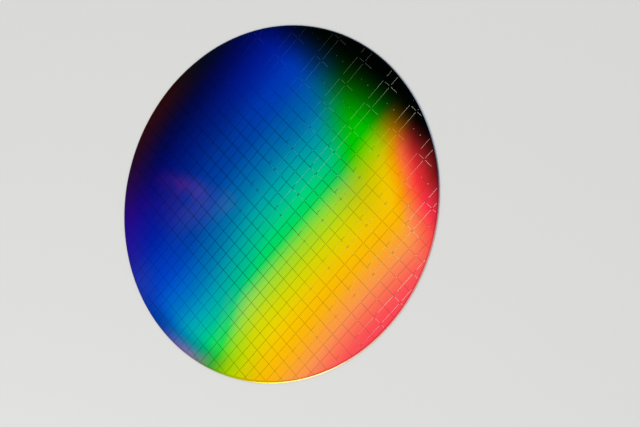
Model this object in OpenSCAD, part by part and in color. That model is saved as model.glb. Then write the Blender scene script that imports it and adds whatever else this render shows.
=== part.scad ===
// Silicon wafer with a full print of dies. A thin round blank has a ground edge, bevelled on
// both faces and rounded between them, and one alignment notch. Its front carries rows of equal
// dies, which stand a little proud of the sawing streets between them and are cut off at the
// bare margin along the edge. The back face lies on z = 0, centred, and the notch points to -Y.

/* [Blank] */
// Diameter of the blank
wafer_d = 300; // [150:1:330]
// Thickness of the blank, from its back face to its bare front face
wafer_t = 0.775; // [0.6:0.005:1.2]
// Slope of the bevels along the edge and round the notch, from the faces
bevel_angle = 22; // [15:1:30]
// Radius of the rounded rim between the two edge bevels
rim_r = 0.3; // [0.1:0.01:0.4]

/* [Notch] */
// Depth of the notch, in from the rim
notch_depth = 1; // [0.8:0.05:1.4]
// Angle between the two sides of the notch
notch_angle = 90; // [80:1:100]
// Radius of the rounded bottom of the notch
notch_r = 0.9; // [0.5:0.05:1.2]
// Width of the bevel round the notch, on each face
notch_bevel = 0.25; // [0.1:0.01:0.4]

/* [Dies] */
// Width of a die, across the notch axis
die_x = 11.4; // [8:0.1:25]
// Length of a die, along the notch axis
die_y = 7.75; // [6:0.05:25]
// Height of a die above the street floor
die_h = 0.02; // [0.01:0.005:0.1]
// Width of the sawing streets between the dies
street_w = 0.2; // [0.1:0.01:0.5]
// Place of the middle street across the notch axis
street_at_x = -1.4; // [-5:0.1:5]
// Place of the middle street along the notch axis
street_at_y = -0.6; // [-3:0.1:3]
// Bare margin between the dies and the rim
edge_margin = 2; // [2:0.1:10]

/* [Hidden] */
$fn = 180;

wafer_r = wafer_d / 2;
print_r = wafer_r - edge_margin;
pitch_x = die_x + street_w;
pitch_y = die_y + street_w;
// Dies counted from the middle to one more than the print's half width
cols = ceil(print_r / pitch_x) + 1;
rows = ceil(print_r / pitch_y) + 1;
// How far the dies reach down into the blank, which makes them one solid with it
die_root = wafer_t / 4;
// How far a cutter stands clear of the face it cuts
clear = wafer_t / 4;

// The front's colours from the notch (-1) to the far side (1): [place, strength]
sheen_red = [[-1, 0.95], [-0.6, 1], [-0.3, 0.75], [-0.15, 0], [0.7, 0], [1, 0.1]];
sheen_green = [[-1, 0.3], [-0.6, 0.75], [-0.3, 0.85], [-0.1, 0.8], [0.1, 0.45], [0.5, 0.15], [1, 0.05]];
sheen_blue = [[-1, 0.25], [-0.6, 0], [-0.25, 0.1], [0, 0.65], [0.4, 0.75], [1, 0.15]];
function sheen(place) = [
    lookup(place, sheen_red),
    lookup(place, sheen_green),
    lookup(place, sheen_blue)
];

// Half section of the blank: flat faces, a bevel from each, and the round rim tangent to both
module blank_section() {
    half_t = wafer_t / 2;
    bevel_end_x = wafer_r - rim_r + rim_r * sin(bevel_angle);
    bevel_end_z = rim_r * cos(bevel_angle);
    face_r = bevel_end_x - (half_t - bevel_end_z) / tan(bevel_angle);
    translate([0, half_t]) {
        polygon([
            [0, -half_t],
            [face_r, -half_t],
            [bevel_end_x, -bevel_end_z],
            [bevel_end_x, bevel_end_z],
            [face_r, half_t],
            [0, half_t]
        ]);
        translate([wafer_r - rim_r, 0])
            circle(r = rim_r);
    }
}

// What is ground away at the notch: one section, wider at both faces, carried round the notch's
// bottom and straight out along its two sides
module notch() {
    half_angle = notch_angle / 2;
    side_length = 3 * notch_depth;
    bevel_drop = notch_bevel * tan(bevel_angle);
    mouth = notch_r + notch_bevel + clear / tan(bevel_angle);
    function section(inner) = [
        [inner, -clear],
        [mouth, -clear],
        [notch_r, bevel_drop],
        [notch_r, wafer_t - bevel_drop],
        [mouth, wafer_t + clear],
        [inner, wafer_t + clear]
    ];
    translate([0, notch_depth - notch_r - wafer_r, 0]) {
        rotate([0, 0, half_angle])
            rotate_extrude(angle = 180 - notch_angle)
                polygon(section(0));
        for (side = [0, 1])
            mirror([side, 0, 0])
                rotate([90, 0, half_angle])
                    linear_extrude(side_length)
                        polygon(section(-side_length));
    }
}

// Outline of one row of dies, cut off at the margin
module die_row(row) {
    corner_x = street_at_x + street_w / 2;
    corner_y = street_at_y + street_w / 2;
    intersection() {
        for (col = [-cols : cols])
            translate([corner_x + col * pitch_x, corner_y + row * pitch_y])
                square([die_x, die_y]);
        circle(r = print_r);
    }
}

module wafer() {
    color("dimgray")
        difference() {
            rotate_extrude()
                blank_section();
            notch();
        }
    for (row = [-rows : rows])
        color(sheen(row * pitch_y / print_r))
            translate([0, 0, wafer_t - die_root])
                linear_extrude(die_root + die_h)
                    die_row(row);
}

wafer();
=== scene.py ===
import math

import bpy
import numpy as np
from mathutils import Matrix, Vector


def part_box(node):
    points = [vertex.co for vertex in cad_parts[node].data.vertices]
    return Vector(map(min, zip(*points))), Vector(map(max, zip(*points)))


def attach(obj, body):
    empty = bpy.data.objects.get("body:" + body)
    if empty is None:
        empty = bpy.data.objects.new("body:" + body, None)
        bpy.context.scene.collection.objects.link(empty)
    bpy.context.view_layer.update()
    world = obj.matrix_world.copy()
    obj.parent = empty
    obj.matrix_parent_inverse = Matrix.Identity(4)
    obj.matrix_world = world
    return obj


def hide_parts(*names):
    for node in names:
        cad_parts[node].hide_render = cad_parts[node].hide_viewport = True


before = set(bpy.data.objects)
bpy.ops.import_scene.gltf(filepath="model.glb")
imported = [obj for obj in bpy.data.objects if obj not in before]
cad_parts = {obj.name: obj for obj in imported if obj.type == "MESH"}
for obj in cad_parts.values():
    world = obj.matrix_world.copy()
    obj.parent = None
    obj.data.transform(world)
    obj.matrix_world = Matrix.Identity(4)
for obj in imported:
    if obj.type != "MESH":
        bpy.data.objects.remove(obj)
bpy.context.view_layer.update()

MM = 0.001

# The blank, as in the part's source, in metres
node_low, node_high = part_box("wafer")
WAFER_R = min(node_high.x, -node_low.x, node_high.y)
DIE_H = 0.02 * MM
BACK_Z = node_low.z
DIE_TOP_Z = node_high.z
STREET_Z = DIE_TOP_Z - DIE_H
BEVEL_ANGLE = math.radians(22)
RIM_R = 0.3 * MM
NOTCH_DEPTH = 1 * MM
NOTCH_HALF_ANGLE = math.radians(45)
NOTCH_R = 0.9 * MM

# Half of the notch's mouth as an angle from the wafer's centre, the width of the bevel round the notch as a
# share of the edge's bevel, and the share of the notch's depth at which it is down to that
NOTCH_MOUTH = math.radians(0.6)
NOTCH_BEVEL_SHARE = 0.55
NOTCH_BEVEL_FROM = 0.25

# The print of dies, as in the part's source
MARGIN = 2 * MM
PRINT_R = WAFER_R - MARGIN
STREET_W = 0.2 * MM
PITCH_X = 11.6 * MM
PITCH_Y = 7.95 * MM
STREET_AT_X = -1.4 * MM
STREET_AT_Y = -0.6 * MM

# One exposure of the print is this many dies, and its first row lies this many rows from the middle street
FIELD_COLS = 2
FIELD_ROWS = 4
FIELD_FIRST_ROW = -2

# Metal marks that stand in the streets, lower than the dies
MARK_W = 0.16 * MM
MARK_H = 0.012 * MM
PLUS_ARM = 0.42 * MM
SMALL_PLUS_ARM = 0.3 * MM

# Places of the marks from an exposure's corner: how far the bars keep from its sides, the ends of the ticks
# up and down the street, and how many rows of dies lie below the plus signs
LOWER_BAR_CLEAR = 1.5 * MM
UPPER_BAR_START = 4.2 * MM
UPPER_BAR_CLEAR = 0.3 * MM
UP_TICK = (1 * MM, 6 * MM)
DOWN_TICK = (-8.3 * MM, -1 * MM)
PLUS_ROW = 2
SMALL_PLUS_ROW = 3

# Fineness of the surfaces, and the least reach of a block that the print's circle cuts off
RIM_STEPS = 720
NOTCH_STEPS = 49
RIM_ARC_STEPS = 12
FLAT_RINGS = 16
CUT_STEPS = 10
LEAST_CUT = 0.03 * MM

# Points of a block on each line across it: low and high, at the line's two ends
LINE_POINTS = 4

# Edges that turn by more than this stay sharp
BLANK_SMOOTH = math.radians(15)
BLOCK_SMOOTH = math.radians(30)

# Layout of the pieces' surfaces, unfolded flat on a unit square
MAP_NAME = "OFBake"
STRIP_TOP = 0.22
STRIP_REACH = 1.25 * MARGIN
DISC_R = 0.235
FRONT_DISC = (0.25, 0.6)
BACK_DISC = (0.75, 0.6)
CORNER_SHARE = 0.1
CORNER_AT = 0.01
DIE_TOP_SHARE = 0.95
MARK_CELLS = 32
MARK_CELL_SHARE = 0.9
MARK_TOP_SHARE = 0.4


def add_piece(name, points, faces, places, material, smooth_below):
    """Makes one piece of the wafer from an array of points, a list of faces and the place of each face
    corner on the unfolded surface. Edges that turn by more than smooth_below stay sharp. The piece rides on
    the wafer's only body and takes its finish from its slot."""
    mesh = bpy.data.meshes.new(name)
    mesh.from_pydata(points.tolist(), [], faces)
    layer = mesh.uv_layers.new(name=MAP_NAME)
    layer.data.foreach_set("uv", places.astype(np.float32).ravel())
    mesh.shade_smooth()
    mesh.set_sharp_from_angle(angle=smooth_below)
    mesh.materials.append(material)
    piece = bpy.data.objects.new(name, mesh)
    bpy.context.scene.collection.objects.link(piece)
    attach(piece, "root")
    return piece


def notch_angles():
    """Angles round the wafer from the notch's axis: even steps, and finer ones across the notch's mouth."""
    even = np.linspace(-math.pi, math.pi, RIM_STEPS, endpoint=False)
    fine = np.linspace(-NOTCH_MOUTH, NOTCH_MOUTH, NOTCH_STEPS)
    return np.concatenate([even[even < -NOTCH_MOUTH], fine, even[even > NOTCH_MOUTH]])


def outline_radius(angle):
    """Radius of the blank's outline at an angle from the notch's axis. Away from the notch it is the
    wafer's. In the notch it is where a ray from the centre meets the round bottom, or, further from the axis
    than the point where they touch, the straight side that leaves it. The side's angle is held back where
    its line lies outside the wafer anyway."""
    turn = np.abs(angle)
    tilt = NOTCH_HALF_ANGLE
    bottom_at = WAFER_R - NOTCH_DEPTH + NOTCH_R
    touch = math.atan2(NOTCH_R * math.cos(tilt), bottom_at - NOTCH_R * math.sin(tilt))
    near = np.minimum(turn, touch)
    bottom = bottom_at * np.cos(near) - np.sqrt(NOTCH_R ** 2 - (bottom_at * np.sin(near)) ** 2)
    side_turn = np.minimum(turn, tilt / 2)
    side = (bottom_at * math.sin(tilt) - NOTCH_R) / np.sin(tilt - side_turn)
    return np.minimum(WAFER_R, np.where(turn < touch, bottom, side))


def edge_profile():
    """Section of the blank's edge as distance in from the outline and height: up the lower bevel, round the
    rim, in over the upper bevel and across the front's bare margin. The rim is an arc that touches both
    bevels."""
    thickness = STREET_Z - BACK_Z
    reach = math.pi / 2 - BEVEL_ANGLE
    turn = np.linspace(-reach, reach, RIM_ARC_STEPS + 1)
    arc_in = RIM_R * (1 - np.cos(turn))
    arc_z = thickness / 2 + RIM_R * np.sin(turn)
    bevel_in = arc_in[0] + arc_z[0] / math.tan(BEVEL_ANGLE)
    inset = np.concatenate([[bevel_in], arc_in, [bevel_in, STRIP_REACH]])
    height = np.concatenate([[0], arc_z, [thickness, thickness]])
    return inset, BACK_Z + height


def make_blank(material):
    """The blank as one closed surface of two parameters, the angle round the wafer and the way along its
    half section: from the back's centre out over the edge and in to the front's centre. Its edge unfolds to
    a strip, and its two faces to discs."""
    angle = notch_angles()
    outline = outline_radius(angle)
    notch_share = np.clip((WAFER_R - outline) / (NOTCH_DEPTH * NOTCH_BEVEL_FROM), 0, 1)
    bevel_share = 1 + (NOTCH_BEVEL_SHARE - 1) * notch_share
    inset, height = edge_profile()
    edge_r = outline[:, None] - inset[None, :] * bevel_share[:, None]
    edge_r[:, -1] = WAFER_R - inset[-1]
    inner_share = np.arange(1, FLAT_RINGS) / FLAT_RINGS
    inner = len(inner_share)
    back_r = edge_r[:, :1] * inner_share[None, :]
    front_r = edge_r[:, -1:] * inner_share[None, ::-1]
    radius = np.concatenate([back_r, edge_r, front_r], axis=1)
    section_z = np.concatenate([np.full(inner, height[0]), height, np.full(inner, height[-1])])
    grid = np.stack([
        radius * np.sin(angle)[:, None],
        -radius * np.cos(angle)[:, None],
        np.broadcast_to(section_z, radius.shape),
    ], axis=2)
    turns, steps = radius.shape
    poles = np.array([[0, 0, height[0]], [0, 0, height[-1]]])
    points = np.concatenate([grid.reshape(-1, 3), poles])

    here = np.arange(turns)[:, None] * steps
    there = np.roll(here, -1, axis=0)
    step = np.arange(steps - 1)[None, :]
    quads = np.stack([here + step, there + step, there + step + 1, here + step + 1], axis=2)
    back_pole = turns * steps
    front_pole = back_pole + 1
    first = here[:, 0]
    second = there[:, 0]
    back_fan = np.stack([np.full(turns, back_pole), second, first], axis=1)
    front_fan = np.stack([np.full(turns, front_pole), first + steps - 1, second + steps - 1], axis=1)

    on_disc = points[:, :2] / WAFER_R * DISC_R
    front_place = on_disc + np.array(FRONT_DISC)
    back_place = on_disc + np.array(BACK_DISC)
    edge_steps = len(inset) - 1
    back_quads = quads[:, :inner]
    edge_quads = quads[:, inner:inner + edge_steps]
    front_quads = quads[:, inner + edge_steps:]
    along = np.arange(turns)[:, None, None] + np.array([0, 1, 1, 0])[None, None, :]
    across = np.arange(edge_steps)[None, :, None] + np.array([0, 0, 1, 1])[None, None, :]
    along, across = np.broadcast_arrays(along, across)
    strip = np.stack([along / turns, across / edge_steps * STRIP_TOP], axis=3)
    faces = [
        *back_quads.reshape(-1, 4).tolist(),
        *edge_quads.reshape(-1, 4).tolist(),
        *front_quads.reshape(-1, 4).tolist(),
        *back_fan.tolist(),
        *front_fan.tolist(),
    ]
    places = np.concatenate([
        back_place[back_quads.ravel()],
        strip.reshape(-1, 2),
        front_place[front_quads.ravel()],
        back_place[back_fan.ravel()],
        front_place[front_fan.ravel()],
    ])
    piece = add_piece("wafer_blank", points, faces, places, material, BLANK_SMOOTH)
    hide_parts("wafer")


def cut_off_blocks(box, low, high, steps):
    """Flat blocks on rectangles that are cut off at the print's circle. Each rectangle is crossed by
    steps + 1 lines along x. A line's ends are the rectangle's sides, moved in to the circle where they lie
    outside it, and the first and last lines are moved in to where the circle comes near the side closest to
    the axis. Returns the points, the faces, which faces are bottoms, and each point's place in its own
    block: its rectangle's number, its share of the rectangle's two sides and its level, 0 or 1."""
    x0, x1, y0, y1 = box
    blocks = len(x0)
    near_x = np.abs(np.clip(0, x0, x1))
    reach = np.sqrt(np.maximum(PRINT_R ** 2 - (near_x + LEAST_CUT) ** 2, 0))
    first_y = np.maximum(y0, -reach)
    last_y = np.minimum(y1, reach)
    share = np.linspace(0, 1, steps + 1)
    line_y = first_y[:, None] + (last_y - first_y)[:, None] * share[None, :]
    half = np.sqrt(np.maximum(PRINT_R ** 2 - line_y ** 2, 0))
    left_x = np.clip(x0[:, None], -half, half)
    right_x = np.clip(x1[:, None], -half, half)
    flat = np.stack([np.stack([left_x, line_y], 2), np.stack([right_x, line_y], 2)], 2)
    shape = (blocks, steps + 1, 2, 2)
    spread = np.broadcast_to(flat[:, :, :, None, :], (*shape, 2))
    level = np.broadcast_to(np.array([0, 1])[None, None, None, :], shape)
    height = low + (high - low) * level
    points = np.concatenate([spread, height[..., None]], axis=4).reshape(-1, 3)

    # Points follow each other in this order, line by line
    line = LINE_POINTS * np.arange(steps)
    low_left, high_left, low_right, high_right = (line + point for point in range(LINE_POINTS))
    top = np.stack([high_left, high_right, high_right + LINE_POINTS, high_left + LINE_POINTS], 1)
    bottom = np.stack([low_left, low_left + LINE_POINTS, low_right + LINE_POINTS, low_right], 1)
    left_wall = np.stack([low_left, high_left, high_left + LINE_POINTS, low_left + LINE_POINTS], 1)
    right_wall = np.stack([low_right, low_right + LINE_POINTS, high_right + LINE_POINTS, high_right], 1)
    end = LINE_POINTS * steps
    end_walls = np.array([[0, 2, 3, 1], [end, end + 1, end + 3, end + 2]])
    one = np.concatenate([top, bottom, left_wall, right_wall, end_walls])
    faces = one[None, :, :] + (np.arange(blocks) * LINE_POINTS * (steps + 1))[:, None, None]
    is_bottom = np.zeros(len(one), bool)
    is_bottom[steps:2 * steps] = True

    corner = np.stack([x0, y0], 1)[:, None, None, None, :]
    sides = np.stack([x1 - x0, y1 - y0], 1)[:, None, None, None, :]
    local = ((spread - corner) / sides).reshape(-1, 2)
    number = np.broadcast_to(np.arange(blocks)[:, None, None, None], shape).ravel()
    return points, faces.reshape(-1, 4), np.tile(is_bottom, blocks), number, local, level.ravel()


def blocks_in_print(box, low, high):
    """The blocks of a list of rectangles: plain ones inside the print's circle, finely stepped ones where it
    cuts them, and none outside it. Returns what cut_off_blocks does, and the kept rectangles in their
    order."""
    x0, x1, y0, y1 = box
    far = np.hypot(np.maximum(np.abs(x0), np.abs(x1)), np.maximum(np.abs(y0), np.abs(y1)))
    near = np.hypot(
        np.abs(np.clip(0, x0, x1)) + 2 * LEAST_CUT,
        np.abs(np.clip(0, y0, y1)) + 2 * LEAST_CUT,
    )
    whole = far <= PRINT_R
    cut = (near < PRINT_R) & ~whole
    plain = cut_off_blocks(box[:, whole], low, high, 1)
    stepped = cut_off_blocks(box[:, cut], low, high, CUT_STEPS)
    points, faces, is_bottom, number, local, level = (np.concatenate(pair) for pair in zip(plain, stepped))
    faces[len(plain[1]):] += len(plain[0])
    number[len(plain[3]):] += whole.sum()
    kept = np.concatenate([box[:, whole], box[:, cut]], axis=1)
    return (points, faces, is_bottom, number, local, level), kept


def unfolded(place, faces, is_bottom):
    """Place of each face corner on the unfolded surface, from the places of the points: bottoms lie apart,
    as a small copy in the corner."""
    corners = place[faces.ravel()]
    small = CORNER_AT + CORNER_SHARE * corners
    return np.where(np.repeat(is_bottom, faces.shape[1])[:, None], small, corners)


def street_lines(first, pitch):
    """Middles of all the streets along one axis, out to beyond the print's circle on both sides."""
    count = int(PRINT_R / pitch) + 2
    return first + pitch * np.arange(-count, count + 1)


def crossed(a, b):
    """Every pairing of the values of two lists, as two flat arrays."""
    first, second = np.meshgrid(a, b, indexing="ij")
    return first.ravel(), second.ravel()


def make_dies(material):
    """The dies, one low block for each cell between the streets. They unfold as seen from above, each with
    its walls laid out round its top."""
    left, near = crossed(street_lines(STREET_AT_X, PITCH_X), street_lines(STREET_AT_Y, PITCH_Y))
    box = np.stack([
        left + STREET_W / 2,
        left + PITCH_X - STREET_W / 2,
        near + STREET_W / 2,
        near + PITCH_Y - STREET_W / 2,
    ])
    (points, faces, is_bottom, number, local, level), kept = blocks_in_print(box, STREET_Z, DIE_TOP_Z)
    corner = kept[[0, 2]].T[number]
    side = (kept[[1, 3]] - kept[[0, 2]]).T[number]
    shrink = np.where(level == 1, DIE_TOP_SHARE, 1)[:, None]
    laid = corner + side * (0.5 + (local - 0.5) * shrink)
    place = 0.5 + laid / (2 * WAFER_R)
    places = unfolded(place, faces, is_bottom)
    add_piece("dies", points, faces.tolist(), places, material, BLOCK_SMOOTH)


def plus_sign(x, y, arm):
    """The rectangles of a plus sign round a point: one bar along x, and the two arms beside it."""
    half = MARK_W / 2
    return (
        (x - arm, x + arm, y - half, y + half),
        (x - half, x + half, y + half, y + arm),
        (x - half, x + half, y - arm, y - half),
    )


def make_marks(material):
    """The metal marks of every exposure: a bar along its lower street and one along the next street up,
    which keep clear of its corners, ticks up and down the street from its corner, and plus signs on the
    street through its middle. Each unfolds in a cell of its own, with its walls round its top."""
    field_x = FIELD_COLS * PITCH_X
    field_y = FIELD_ROWS * PITCH_Y
    corner_x, corner_y = crossed(
        street_lines(STREET_AT_X, field_x),
        street_lines(STREET_AT_Y + FIELD_FIRST_ROW * PITCH_Y, field_y),
    )
    half = MARK_W / 2
    # From the exposure's corner: (x0, x1, y0, y1) of each mark
    marks = np.array((
        (LOWER_BAR_CLEAR, field_x - LOWER_BAR_CLEAR, -half, half),
        (UPPER_BAR_START, field_x - UPPER_BAR_CLEAR, PITCH_Y - half, PITCH_Y + half),
        (-half, half, *UP_TICK),
        (-half, half, *DOWN_TICK),
        *plus_sign(PITCH_X, PLUS_ROW * PITCH_Y, PLUS_ARM),
        *plus_sign(PITCH_X, SMALL_PLUS_ROW * PITCH_Y, SMALL_PLUS_ARM),
    ))
    corner = np.stack([corner_x, corner_x, corner_y, corner_y], 1)
    box = (corner[:, None, :] + marks[None, :, :]).reshape(-1, 4).T
    mark_top = STREET_Z + MARK_H
    (points, faces, is_bottom, number, local, level), kept = blocks_in_print(box, STREET_Z, mark_top)
    shrink = np.where(level == 1, MARK_TOP_SHARE, 1)[:, None] * MARK_CELL_SHARE
    cell = np.stack([number % MARK_CELLS, number // MARK_CELLS], 1) + 0.5 + (local - 0.5) * shrink
    cell_rows = kept.shape[1] // MARK_CELLS + 1
    strip = 2 * CORNER_SHARE
    place = np.stack([cell[:, 0] / MARK_CELLS, strip + cell[:, 1] / cell_rows * (1 - strip)], 1)
    places = unfolded(place, faces, is_bottom)
    add_piece("street_marks", points, faces.tolist(), places, material, BLOCK_SMOOTH)


class Term:
    """One number in a material's formula, kept as the node socket that gives it. Sums, products and the
    other steps below each add nodes."""

    def __init__(self, tree, socket):
        self.tree = tree
        self.socket = socket

    def made(self, kind, values):
        """A new node of a kind, with its inputs joined to other terms or set to plain numbers."""
        step = self.tree.nodes.new(kind)
        for place, value in values.items():
            if isinstance(value, Term):
                self.tree.links.new(value.socket, step.inputs[place])
            else:
                step.inputs[place].default_value = value
        return step

    def maths(self, operation, *others):
        """One operation on this term and others."""
        step = self.made("ShaderNodeMath", dict(enumerate((self, *others))))
        step.operation = operation
        return Term(self.tree, step.outputs[0])

    def __add__(self, other):
        return self.maths("ADD", other)

    def __sub__(self, other):
        return self.maths("SUBTRACT", other)

    def __mul__(self, other):
        return self.maths("MULTIPLY", other)

    def between(self, low, high):
        """Runs from low, where this term is nought, to high, where it is one."""
        return self * (high - low) + low

    def dims(self, amount):
        """One where this term is nought, and less by an amount where it is one."""
        return self * -amount + 1

    def rise(self, start, end):
        """Nought before start, one after end, and a smooth rise between. It falls if end is the smaller."""
        step = self.made("ShaderNodeMapRange", {"Value": self, "From Min": start, "From Max": end})
        step.interpolation_type = "SMOOTHSTEP"
        return Term(self.tree, step.outputs["Result"])

    def falls(self, middle, reach):
        """A smooth fall from one to nought across a middle, with a reach to both sides of it."""
        return self.rise(middle + reach, middle - reach)

    def ramp(self, stops, smooth):
        """A run of colours over this term, from pairs of (place from 0 to 1, colour)."""
        step = self.made("ShaderNodeValToRGB", {"Fac": self})
        step.color_ramp.interpolation = smooth
        while len(step.color_ramp.elements) < len(stops):
            step.color_ramp.elements.new(1)
        for element, (place, colour) in zip(step.color_ramp.elements, stops):
            element.position = place
            element.color = (*colour, 1)
        return Term(self.tree, step.outputs["Color"])

    def curve(self, stops):
        """A smooth curve through pairs of (place from -1 to 1, height from 0 to 1)."""
        grey = [((place + 1) / 2, (height, height, height)) for place, height in stops]
        return (self * 0.5 + 0.5).ramp(grey, "CARDINAL")


# Tint of the shine at grazing views, which keeps the colours from turning milky there
GRAZING_TINT = (0.5, 0.5, 0.5, 1)

# Fineness of the clouds, and the power that turns strength as the eye sees it into light
CLOUD_DETAIL = 3
DISPLAY_GAMMA = 2.2


def new_metal(name):
    """A bare metal material, its shader, and the terms of a point's place on the wafer."""
    material = bpy.data.materials.new(name)
    material.use_nodes = True
    tree = material.node_tree
    shader = tree.nodes["Principled BSDF"]
    shader.inputs["Metallic"].default_value = 1
    shader.inputs["Specular Tint"].default_value = GRAZING_TINT
    place = tree.nodes.new("ShaderNodeTexCoord").outputs["Object"]
    split = tree.nodes.new("ShaderNodeSeparateXYZ")
    tree.links.new(place, split.inputs[0])
    return material, shader, [Term(tree, out) for out in split.outputs]


def drive(shader, name, term):
    """Lets a term set one of a shader's inputs."""
    term.tree.links.new(term.socket, shader.inputs[name])


def cloudy(place_term, size):
    """Soft clouds of a size all over the piece, from 0 to 1."""
    tree = place_term.tree
    clouds = tree.nodes.new("ShaderNodeTexNoise")
    clouds.inputs["Scale"].default_value = 1 / size
    clouds.inputs["Detail"].default_value = CLOUD_DETAIL
    source = tree.nodes.new("ShaderNodeTexCoord").outputs["Object"]
    tree.links.new(source, clouds.inputs["Vector"])
    return Term(tree, clouds.outputs["Fac"])


def as_light(colour):
    """A colour of strengths as the eye sees them, turned into light."""
    light = colour.made("ShaderNodeGamma", {"Color": colour, "Gamma": DISPLAY_GAMMA})
    return Term(colour.tree, light.outputs["Color"])


def joined(red, green, blue):
    """One colour from its three strengths."""
    made = red.made("ShaderNodeCombineColor", {"Red": red, "Green": green, "Blue": blue})
    return Term(red.tree, made.outputs["Color"])


def mixed(share, under, over):
    """The colour over laid on the colour under by a share from 0 to 1."""
    step = share.tree.nodes.new("ShaderNodeMix")
    step.data_type = "RGBA"
    by_name = {"Factor_Float": share, "A_Color": under, "B_Color": over}
    for socket in step.inputs:
        if socket.identifier in by_name:
            share.tree.links.new(by_name[socket.identifier].socket, socket)
    result = [out for out in step.outputs if out.identifier == "Result_Color"][0]
    return Term(share.tree, result)


def in_radii(x, y):
    """A point's place in wafer radii: u across the notch axis, and v along it, with the notch at -1."""
    return x * (1 / WAFER_R), y * (1 / WAFER_R)


def from_centre(x, y):
    """Distance of a point from the wafer's centre."""
    return (x * x + y * y).maths("SQRT")


# The painted diffraction light of the front along the notch axis, from the notch (-1) to the far side (1):
# (place, strength)
RED_BAND = (
    (-1.0, 0.98), (-0.6, 0.97), (-0.5, 0.89), (-0.4, 0.76), (-0.3, 0.55), (-0.25, 0.32), (-0.2, 0.04),
    (-0.15, 0.02), (0.2, 0.01), (0.75, 0.03), (1.0, 0.06),
)
GREEN_BAND = (
    (-1.0, 0.27), (-0.9, 0.37), (-0.8, 0.55), (-0.7, 0.66), (-0.5, 0.80), (-0.3, 0.85), (-0.2, 0.84),
    (-0.1, 0.77), (0.1, 0.53), (0.3, 0.31), (0.5, 0.19), (0.75, 0.08), (1.0, 0.07),
)
BLUE_BAND = (
    (-1.0, 0.05), (-0.45, 0.05), (-0.3, 0.23), (-0.15, 0.46), (0.0, 0.62), (0.15, 0.65), (0.3, 0.63),
    (0.5, 0.54), (0.7, 0.39), (0.85, 0.21), (1.0, 0.07),
)

# Where each band's light ends on the right, along the notch axis: (place, how far out)
RED_END = (
    (-1.0, 0.56), (-0.8, 0.66), (-0.72, 0.71), (-0.67, 0.73), (-0.62, 0.748), (-0.57, 0.775), (-0.5, 0.79),
    (-0.4, 0.806), (-0.2, 0.845), (1.0, 0.85),
)
GREEN_END = (
    (-1.0, 0.52), (-0.85, 0.535), (-0.75, 0.552), (-0.65, 0.587), (-0.55, 0.635), (-0.35, 0.745),
    (-0.25, 0.775), (-0.1, 0.787), (0.1, 0.787), (0.25, 0.775), (0.5, 0.755), (1.0, 0.74),
)
BLUE_END = (
    (-1.0, 0.44), (-0.25, 0.455), (-0.15, 0.49), (0.05, 0.60), (0.15, 0.67), (0.25, 0.725), (0.4, 0.745),
    (1.0, 0.735),
)

# Below, a name that ends in U, V or R is the span of a smooth rise across the notch axis, along it or out
# from the centre, in wafer radii: where the rise starts and where it ends. One that ends in SPAN is the same
# over what its comment says. Other pairs give a value where a rise or a cloud is nought and where it is one.

# How far each band bends towards the notch near the left edge
GREEN_BEND = 0.155
GREEN_BEND_U = (0.0, -0.7)
GREEN_BEND_V = (-0.6, -0.2)
GREEN_BEND_SHARE = (0.35, 1)
BLUE_BEND = 0.155
BLUE_BEND_U = (-0.1, -0.75)
BLUE_BEND_NOTCH_V = (-0.6, -0.1)
BLUE_BEND_FAR_V = (0.65, 0.25)
RED_BEND = 0.16
RED_BEND_U = (-0.45, -0.9)

# How much further from the notch red reaches on the right, and the least red on the left, which begins
# over a span of red's own place
RED_FURTHER = (0.05, 0.15)
RED_FURTHER_U = (0.35, 0.7)
RED_FURTHER_V = (-0.25, -0.45)
RED_LEAST = 0.15
RED_LEAST_U = (-0.4, -0.6)
RED_LEAST_SPAN = (-0.1, -0.2)

# Reach of each band's fade at its right end
RED_FADE = (0.1, 0.14)
RED_FADE_V = (-0.3, -0.55)
GREEN_FADE = 0.17
BLUE_FADE = 0.1
BLUE_FADE_MORE = 0.08
BLUE_FADE_MORE_V = (-0.25, 0.05)
BLUE_FADE_LESS = 0.03
BLUE_FADE_LESS_V = (0.25, 0.45)

# Slightly dimmer green right of the middle, and the least green in red light
GREEN_DIM = 0.08
GREEN_DIM_U = (0.15, 0.42)
GREEN_DIM_NOTCH_V = (-0.6, -0.4)
GREEN_DIM_FAR_V = (0.35, 0.15)
GREEN_IN_RED = 0.22

# Stronger blue on the left, and on the far right
LEFT_GLOW = (0.1, 0.24)
LEFT_GLOW_U = (-0.4, -0.8)
LEFT_GLOW_V = (-0.2, 0.25)
FAR_GLOW = 0.2
FAR_GLOW_U = (0.0, 0.5)
FAR_GLOW_V = (0.2, 0.5)

# Violet of the next order, where green dies out over a span of its strength: at the notch, and on the right
NOTCH_VIOLET = 0.29
NOTCH_VIOLET_SPAN = (0.77, 0.53)
NOTCH_VIOLET_V = (-0.5, -0.7)
RIGHT_VIOLET = 0.24
RIGHT_VIOLET_SPAN = (0.72, 0.35)
RIGHT_VIOLET_V = (-0.25, -0.42)
RIGHT_VIOLET_U = (0.2, 0.5)

# The edge on the far left: more red and less blue
FAR_LEFT_R = (0.76, 0.99)
FAR_LEFT_U = (0.35, -0.1)
FAR_LEFT_V = (-0.05, 0.35)
FAR_LEFT_RED = 0.12
FAR_LEFT_BLUE = 0.08

# The edge on the left: a rosy rim, less green and less blue
LEFT_U = (-0.2, -0.6)
LEFT_V = (0.35, 0.0)
ROSY_R = (0.9, 1.0)
ROSY_FAR_V = (0.1, -0.25)
ROSY_NOTCH_V = (-0.45, -0.25)
ROSY_RED = 0.48
ROSY_BLUE = 0.12
LEFT_GREEN = 0.42
LEFT_GREEN_R = (0.84, 1.0)
LEFT_GREEN_V = (-0.55, -0.25)
LEFT_BLUE = 0.2
LEFT_BLUE_R = (0.88, 0.99)
LEFT_BLUE_V = (-0.35, -0.15)
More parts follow.
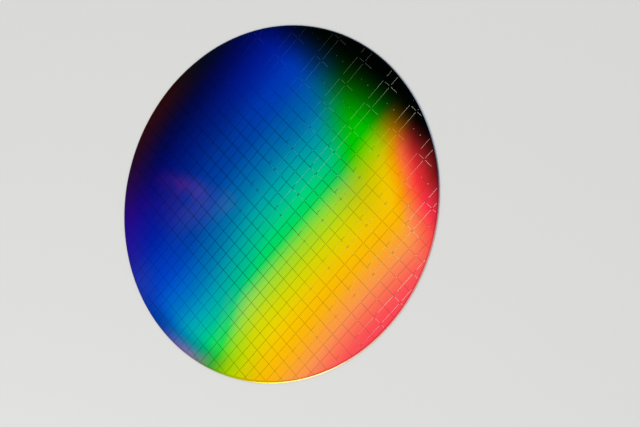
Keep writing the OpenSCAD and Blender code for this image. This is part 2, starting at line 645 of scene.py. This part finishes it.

# A slanting streak of painted red haze of light on the far left: its slant and place, and its flanks, crest
# and clouds. Its spans across are counted from its own slanting line.
HAZE_SLANT = 0.44
HAZE_AT = 0.052
HAZE_RIGHT_U = (0.08, -0.07)
HAZE_LEFT_U = (-0.55, -0.05)
HAZE_NOTCH_V = (0.08, 0.28)
HAZE_FAR_V = (0.8, 0.45)
HAZE_CREST = (1, 1.6)
HAZE_CREST_U = (-0.2, -0.03)
HAZE_CLOUD = 30 * MM
HAZE_CLOUD_SPAN = (0.3, 0.7)
HAZE_RED = (0.07, 0.19)

# Faint grey on the dark right side: red, green and blue
DARK_SIDE_U = (0.7, 0.95)
DARK_SIDE_GREY = (0.025, 0.04, 0.035)


def bands(u, v):
    """Strengths of the three bands of painted diffraction light. Each is a curve along the notch axis, which
    bends towards the notch near the left edge and dies out at its own distance towards the right edge.
    Violet of the next order, a share of red, joins blue where green dies out."""
    red_further = u.rise(*RED_FURTHER_U) * v.rise(*RED_FURTHER_V).between(*RED_FURTHER)
    red_place = v + u.rise(*RED_BEND_U) * RED_BEND - red_further
    red_least = red_place.rise(*RED_LEAST_SPAN) * u.rise(*RED_LEAST_U) * RED_LEAST
    green_bend = u.rise(*GREEN_BEND_U) * GREEN_BEND * v.rise(*GREEN_BEND_V).between(*GREEN_BEND_SHARE)
    blue_bend = u.rise(*BLUE_BEND_U) * BLUE_BEND * v.rise(*BLUE_BEND_NOTCH_V) * v.rise(*BLUE_BEND_FAR_V)
    red = red_place.curve(RED_BAND).maths("MAXIMUM", red_least)
    green = (v + green_bend).curve(GREEN_BAND)
    blue = (v + blue_bend).curve(BLUE_BAND)

    red = red * u.falls(v.curve(RED_END), v.rise(*RED_FADE_V).between(*RED_FADE))
    green = green * u.falls(v.curve(GREEN_END), GREEN_FADE)
    dimmed = u.rise(*GREEN_DIM_U) * v.rise(*GREEN_DIM_NOTCH_V) * v.rise(*GREEN_DIM_FAR_V)
    green = (green * dimmed.dims(GREEN_DIM)).maths("MAXIMUM", red * GREEN_IN_RED)
    more = v.rise(*BLUE_FADE_MORE_V) * BLUE_FADE_MORE
    less = v.rise(*BLUE_FADE_LESS_V) * BLUE_FADE_LESS
    blue = blue * u.falls(v.curve(BLUE_END), more - less + BLUE_FADE)
    left_glow = u.rise(*LEFT_GLOW_U) * v.rise(*LEFT_GLOW_V).between(*LEFT_GLOW)
    far_glow = u.rise(*FAR_GLOW_U) * v.rise(*FAR_GLOW_V) * FAR_GLOW
    blue = blue * (left_glow + far_glow + 1)

    notch_violet = green.rise(*NOTCH_VIOLET_SPAN) * v.rise(*NOTCH_VIOLET_V) * NOTCH_VIOLET
    right_place = v.rise(*RIGHT_VIOLET_V) * u.rise(*RIGHT_VIOLET_U)
    right_violet = green.rise(*RIGHT_VIOLET_SPAN) * right_place * RIGHT_VIOLET
    return red, green, blue + red * notch_violet.maths("MAXIMUM", right_violet)


def edged(u, v, red, green, blue):
    """The bands' strengths, changed along the left half of the edge: more red and less blue on the far side,
    and towards the notch a rosy rim with less green and less blue."""
    radius = from_centre(u, v)
    far_left = radius.rise(*FAR_LEFT_R) * u.rise(*FAR_LEFT_U) * v.rise(*FAR_LEFT_V)
    left = u.rise(*LEFT_U) * v.rise(*LEFT_V)
    rosy = left * radius.rise(*ROSY_R) * v.rise(*ROSY_FAR_V) * v.rise(*ROSY_NOTCH_V)
    less_green = left * radius.rise(*LEFT_GREEN_R) * v.rise(*LEFT_GREEN_V)
    less_blue = left * radius.rise(*LEFT_BLUE_R) * v.rise(*LEFT_BLUE_V)
    red = red + far_left * FAR_LEFT_RED + rosy * ROSY_RED
    green = green * less_green.dims(LEFT_GREEN)
    blue = blue * far_left.dims(FAR_LEFT_BLUE) * less_blue.dims(LEFT_BLUE) + rosy * ROSY_BLUE
    return red, green, blue


def red_haze(x, u, v):
    """Strength of the cloudy red haze of painted light: a slanting streak with a slow left flank, a steep
    right one and a crest between."""
    across = u + v * HAZE_SLANT + HAZE_AT
    flanks = across.rise(*HAZE_RIGHT_U) * across.rise(*HAZE_LEFT_U)
    streak = flanks * v.rise(*HAZE_NOTCH_V) * v.rise(*HAZE_FAR_V)
    crest = across.rise(*HAZE_CREST_U).between(*HAZE_CREST)
    return streak * crest * cloudy(x, HAZE_CLOUD).rise(*HAZE_CLOUD_SPAN).between(*HAZE_RED)


def rainbow_strengths(x, y):
    """Strengths of red, green and blue that the print's fine pattern splits off white light at a point,
    painted
    into the colour as diffraction light: the bands, changed along the edge, the red haze of light, and a
    faint grey on the dark right side."""
    u, v = in_radii(x, y)
    red, green, blue = edged(u, v, *bands(u, v))
    red = red + red_haze(x, u, v)
    dark_side = u.rise(*DARK_SIDE_U)
    return [band + dark_side * grey for band, grey in zip((red, green, blue), DARK_SIDE_GREY)]


# Painted shade in the streets: fainter towards the notch, in two steps down to a least share, and on the
# left
STREET_NEAR_NOTCH = 0.4
STREET_NEAR_NOTCH_V = (-0.5, -0.15)
STREET_AT_NOTCH = 0.25
STREET_AT_NOTCH_V = (-1.3, -0.5)
STREET_LEAST = 0.35
STREET_LEFT = (0.5, 1)
STREET_LEFT_U = (-0.7, -0.4)
STREET_LEFT_V = (-0.15, -0.4)

# Where the streets' painted shade fades out on the right, and how much sooner that of those along and
# across the notch axis does so on the far side
STREET_END_U = (1.05, 0.3)
ALONG_SOONER = 0.4
ALONG_SOONER_V = (0.2, 0.7)
ACROSS_SOONER = 0.45
ACROSS_SOONER_V = (-0.4, 0.7)
ACROSS_FAR_V = (1.2, 0.4)

# Turns a share of light into a share of strength as the eye sees it
EYE_POWER = 0.45


def painted_street_shade(x, y):
    """Painted shade of the streets at a point, from 0 to 1: those along the notch axis, and those across it.
    It fades out to the right, sooner on the far side, and is fainter towards the notch and on the left away
    from it. That of those across it is also fainter towards the far side."""
    u, v = in_radii(x, y)
    near_notch = v.rise(*STREET_NEAR_NOTCH_V) * STREET_NEAR_NOTCH
    at_notch = v.rise(*STREET_AT_NOTCH_V) * STREET_AT_NOTCH
    on_left = u.rise(*STREET_LEFT_U).maths("MAXIMUM", v.rise(*STREET_LEFT_V)).between(*STREET_LEFT)
    strength = (near_notch + at_notch + STREET_LEAST) * on_left
    along = (u + v.rise(*ALONG_SOONER_V) * ALONG_SOONER).rise(*STREET_END_U)
    across = (u + v.rise(*ACROSS_SOONER_V) * ACROSS_SOONER).rise(*STREET_END_U)
    return along * strength, across * strength * v.rise(*ACROSS_FAR_V)


def from_streets(x, y):
    """Distances to the middle of the nearest street along the notch axis, and of the nearest across it."""
    from_x = (x - STREET_AT_X).maths("PINGPONG", PITCH_X / 2)
    from_y = (y - STREET_AT_Y).maths("PINGPONG", PITCH_Y / 2)
    return from_x, from_y


# The seal ring round each die, painted dark with the shade of the street beside it, and its soft inner edge,
# the faint bands inside a die, and its roughness
SEAL_RING_W = 0.09 * MM
SEAL_SOFT = 0.02 * MM
SEAL_RING_SHADE = 0.87
DIE_COLUMNS = 8
DIE_ROWS = 4
DIE_BAND = 0.007
FILM_CLOUD = 20 * MM
FILM_ROUGH = (0.2, 0.3)


def painted_rainbow_film(name):
    """The dies' patterned film, with the diffraction rainbow painted into its colour, the faint even bands
    of the blocks inside each die, which are sine waves, and the seal ring along its edge, which takes
    painted shade with the street beside it."""
    material, shader, place = new_metal(name)
    x, y = place[:2]
    from_x, from_y = from_streets(x, y)
    shade_x, shade_y = painted_street_shade(x, y)
    columns = (from_x * (2 * math.pi * DIE_COLUMNS / PITCH_X)).maths("SINE")
    rows = (from_y * (2 * math.pi * DIE_ROWS / PITCH_Y)).maths("SINE")
    seal_end = STREET_W / 2 + SEAL_RING_W
    # The seal ring's painted shade, as strong as the shade of the street beside it
    seal_x = from_x.rise(seal_end + SEAL_SOFT, seal_end) * shade_x
    seal_y = from_y.rise(seal_end + SEAL_SOFT, seal_end) * shade_y
    left_light = seal_x.maths("MAXIMUM", seal_y).dims(SEAL_RING_SHADE).maths("POWER", EYE_POWER)
    shade = (columns * DIE_BAND + rows * DIE_BAND + 1) * left_light
    drive(shader, "Base Color", as_light(joined(*[band * shade for band in rainbow_strengths(x, y)])))
    drive(shader, "Roughness", cloudy(x, FILM_CLOUD).between(*FILM_ROUGH))
    return material


# Painted highlights and reflections that the rim takes round the wafer, from +X through +Y:
# (degrees, colour)
RIM_PAINTED_GLINTS = (
    (0, (0.30, 0.36, 0.42)), (25, (0.20, 0.28, 0.34)), (50, (0.12, 0.24, 0.36)),
    (66, (0.20, 0.30, 0.38)), (76, (0.80, 0.84, 0.80)), (100, (0.88, 0.88, 0.82)),
    (120, (0.80, 0.82, 0.76)), (128, (0.32, 0.26, 0.36)), (145, (0.30, 0.20, 0.40)),
    (170, (0.32, 0.26, 0.62)), (188, (0.52, 0.42, 0.62)), (204, (0.62, 0.66, 0.32)),
    (222, (0.92, 0.76, 0.16)), (240, (0.98, 0.76, 0.46)), (265, (0.98, 0.80, 0.66)),
    (295, (0.86, 0.62, 0.62)), (313, (0.70, 0.52, 0.60)), (321, (0.38, 0.44, 0.56)),
    (335, (0.62, 0.68, 0.78)), (352, (0.56, 0.62, 0.70)),
)

# Spans, in metres, over which the bevel begins, the print begins and the back begins
BEVEL_SPAN = (WAFER_R - 0.55 * MM, WAFER_R - 0.4 * MM)
PRINT_SPAN = (PRINT_R + 0.05 * MM, PRINT_R - 0.05 * MM)
BACK_SPAN = (BACK_Z + 0.08 * MM, BACK_Z + 0.01 * MM)

# The margin's share of the painted rainbow, the least strength on the front, and how dark a street floor's
# painted shade gets
MARGIN_SHARE = 0.85
LEAST_STRENGTH = 0.02
STREET_FLOOR_SHADE = 0.99

# The back's grey, a little bluish, and the arcs of grinding on it
BACK_GREY = 0.62
BACK_BLUE = 0.02
GRIND_X = 90 * MM
GRIND_Y = 20 * MM
GRIND_PITCH = 1.8 * MM
GRIND_DEPTH = 0.05
GRIND_CLOUD = 15 * MM
SILICON_CLOUD = 12 * MM
SILICON_ROUGH = (0.15, 0.25)


def bare_silicon(name):
    """The polished blank. A street floor takes the painted rainbow light, darkened by its street's painted
    shade. The margin takes a dimmer painted rainbow, and the bevel and rim outside it painted highlights and
    reflections that change round the wafer. The back is grey, with the faint arcs of grinding, a sine wave
    of the distance from one point."""
    material, shader, (x, y, z) = new_metal(name)
    strengths = rainbow_strengths(x, y)
    margin = joined(*[band * MARGIN_SHARE + LEAST_STRENGTH for band in strengths])
    from_x, from_y = from_streets(x, y)
    shade_x, shade_y = painted_street_shade(x, y)
    # Painted shade of the street floor here, from the streets along and across the notch axis
    along = (from_x - from_y).rise(STREET_W / 2, -STREET_W / 2)
    depth = shade_x * along + shade_y * along.dims(1)
    left_light = depth.dims(STREET_FLOOR_SHADE).maths("POWER", EYE_POWER)
    floor = joined(*[band * left_light + LEAST_STRENGTH for band in strengths])

    # The rim's painted highlights and reflections, by angle round the wafer
    turn = (y.maths("ARCTAN2", x) * (1 / (2 * math.pi))).maths("FRACT")
    first = (1.0, RIM_PAINTED_GLINTS[0][1])
    rim = turn.ramp([(degrees / 360, colour) for degrees, colour in RIM_PAINTED_GLINTS] + [first], "LINEAR")
    radius = from_centre(x, y)
    front = mixed(radius.rise(*PRINT_SPAN), mixed(radius.rise(*BEVEL_SPAN), margin, rim), floor)

    waves = (from_centre(x - GRIND_X, y - GRIND_Y) * (2 * math.pi / GRIND_PITCH)).maths("SINE")
    arcs = waves * cloudy(x, GRIND_CLOUD) * GRIND_DEPTH + BACK_GREY
    back = joined(arcs, arcs, arcs + BACK_BLUE)
    drive(shader, "Base Color", as_light(mixed(z.rise(*BACK_SPAN), front, back)))
    drive(shader, "Roughness", cloudy(x, SILICON_CLOUD).between(*SILICON_ROUGH))
    return material


# The marks' share of the painted rainbow light rises to the right across a line, which lies further left the
# further it is from one place along the notch axis, and near the notch. The share is larger on the far side,
# and halved on the left and in the middle of a band that lies before that.
LEAN_AT = 0.25
LEAN = 1.2
NOTCH_LEAN = 0.3
NOTCH_LEAN_V = (-0.45, -0.75)
SHARE = (0.25, 0.8)
SHARE_U = (-0.6, 0.1)
FAR_SHARE = (1, 1.25)
FAR_SHARE_V = (0.2, 0.5)
DULL = 0.5
DULL_U = (0.5, 0.2)
DULL_NOTCH_V = (0.15, 0.3)
DULL_FAR_V = (0.65, 0.45)

# The marks' painted cream highlight: right of the middle, less so in red light, along the edge there, near
# the notch, and on the dark right side
CREAM_U = (-0.3, 0.2)
CREAM_V = (0.3, -0.05)
CREAM_IN_RED = 0.6
EDGE_CREAM = 0.8
EDGE_CREAM_R = (0.78, 0.95)
EDGE_CREAM_U = (-0.3, 0.1)
EDGE_CREAM_V = (0.2, -0.3)
NOTCH_CREAM = 0.5
NOTCH_CREAM_U = (-0.9, -0.2)
NOTCH_CREAM_V = (-0.45, -0.6)
RIGHT_CREAM = (0.3, 0.8)
RIGHT_CREAM_U = (0.4, 0.7)
RIGHT_CREAM_V = (0.5, 0.15)
CREAM_CLOUD = 8 * MM
CREAM_CLOUDS = (0.9, 1.1)

# The marks' red, green and blue: gain of the painted rainbow, strength of the painted cream highlight, and
# least strength
MARK_GAIN = (1.15, 1, 1)
CREAM_HIGHLIGHT_COLOUR = (0.4, 0.38, 0.33)
MARK_LEAST = (0.03, 0.04, 0.05)
MARK_ROUGH = 0.3


def mark_metal(name):
    """The marks' metal: a share of the painted rainbow of the print round it, larger to the right, and a
    cloudy painted cream highlight, which shows mostly on the right and near the notch."""
    material, shader, place = new_metal(name)
    x, y = place[:2]
    u, v = in_radii(x, y)
    strengths = rainbow_strengths(x, y)
    aside = v + LEAN_AT
    lean = aside * aside * LEAN + v.rise(*NOTCH_LEAN_V) * NOTCH_LEAN
    dull = v.rise(*DULL_NOTCH_V) * v.rise(*DULL_FAR_V) * u.rise(*DULL_U)
    share = (u + lean).rise(*SHARE_U).between(*SHARE) * v.rise(*FAR_SHARE_V).between(*FAR_SHARE)
    share = share * dull.dims(DULL)

    # Painted cream highlight on the marks
    middle = u.rise(*CREAM_U) * v.rise(*CREAM_V) * strengths[0].dims(CREAM_IN_RED)
    edge = from_centre(u, v).rise(*EDGE_CREAM_R) * u.rise(*EDGE_CREAM_U) * v.rise(*EDGE_CREAM_V)
    notch = v.rise(*NOTCH_CREAM_V) * u.rise(*NOTCH_CREAM_U)
    right = u.rise(*RIGHT_CREAM_U) * v.rise(*RIGHT_CREAM_V).between(*RIGHT_CREAM)
    cream = (middle + edge * EDGE_CREAM + notch * NOTCH_CREAM).maths("MAXIMUM", right)
    cream = cream * cloudy(x, CREAM_CLOUD).between(*CREAM_CLOUDS)

    made = []
    for band, gain, pale, least in zip(strengths, MARK_GAIN, CREAM_HIGHLIGHT_COLOUR, MARK_LEAST):
        made.append((band * share * gain + cream * pale + least).maths("MINIMUM", 1))
    drive(shader, "Base Color", as_light(joined(*made)))
    shader.inputs["Roughness"].default_value = MARK_ROUGH
    return material


# The pale floor: half its width, its gap below the back face, and its finish
FLOOR_HALF = 6
FLOOR_GAP = 0.05 * MM
FLOOR_COLOUR = (0.62, 0.62, 0.61, 1)
FLOOR_ROUGH = 0.9
FLOOR_SHINE = 0.1

# The even surround, and the soft lamp
SURROUND_COLOUR = (1, 1, 1, 1)
SURROUND_STRENGTH = 1.0
LAMP_SIZE = 0.8
LAMP_POWER = 6
LAMP_AT = (-1.1, -0.5, 0.9)

# The camera: its sensor and lens in millimetres, its place, where it looks and which way its top points
SENSOR_W = 36
LENS = 58.04
NEAR_LIMIT = 0.01
CAMERA_AT = (0.21167, -0.3852, 0.74101)
CAMERA_LOOKS = (-0.22407, 0.40927, -0.88447)
CAMERA_TOP = (0.73889, 0.66312, 0.11965)


def make_floor():
    """A wide pale floor just under the back face."""
    half = FLOOR_HALF
    mesh = bpy.data.meshes.new("floor")
    corners = [(-half, -half, 0), (half, -half, 0), (half, half, 0), (-half, half, 0)]
    mesh.from_pydata(corners, [], [(0, 1, 2, 3)])
    material = bpy.data.materials.new("floor_paper")
    material.use_nodes = True
    shader = material.node_tree.nodes["Principled BSDF"]
    shader.inputs["Base Color"].default_value = FLOOR_COLOUR
    shader.inputs["Roughness"].default_value = FLOOR_ROUGH
    shader.inputs["Specular IOR Level"].default_value = FLOOR_SHINE
    mesh.materials.append(material)
    floor = bpy.data.objects.new("floor", mesh)
    floor.location.z = BACK_Z - FLOOR_GAP
    bpy.context.scene.collection.objects.link(floor)


def make_light():
    """An even pale surround and one large soft lamp, low on the left, away from where the front mirrors the
    camera."""
    world = bpy.data.worlds.new("studio")
    world.use_nodes = True
    background = world.node_tree.nodes["Background"]
    background.inputs["Color"].default_value = SURROUND_COLOUR
    background.inputs["Strength"].default_value = SURROUND_STRENGTH
    bpy.context.scene.world = world
    lamp_data = bpy.data.lights.new("soft_lamp", "AREA")
    lamp_data.shape = "DISK"
    lamp_data.size = LAMP_SIZE
    lamp_data.energy = LAMP_POWER
    lamp = bpy.data.objects.new("soft_lamp", lamp_data)
    lamp.location = LAMP_AT
    lamp.rotation_mode = "QUATERNION"
    lamp.rotation_quaternion = (-lamp.location).to_track_quat("-Z", "Y")
    bpy.context.scene.collection.objects.link(lamp)


def make_camera():
    """The photograph's viewing angle: the camera looks down at the front from about 62 degrees."""
    data = bpy.data.cameras.new("camera")
    data.sensor_width = SENSOR_W
    data.lens = LENS
    data.clip_start = NEAR_LIMIT
    camera = bpy.data.objects.new("camera", data)
    looks = Vector(CAMERA_LOOKS).normalized()
    right = looks.cross(Vector(CAMERA_TOP)).normalized()
    up = right.cross(looks)
    turn = Matrix((right, up, -looks)).transposed()
    camera.matrix_world = Matrix.Translation(CAMERA_AT) @ turn.to_4x4()
    bpy.context.scene.collection.objects.link(camera)
    bpy.context.scene.camera = camera


make_blank(bare_silicon("bare_silicon"))
make_dies(painted_rainbow_film("painted_rainbow_film"))
make_marks(mark_metal("mark_metal"))
make_floor()
make_light()
make_camera()
bpy.context.scene.view_settings.view_transform = "Standard"
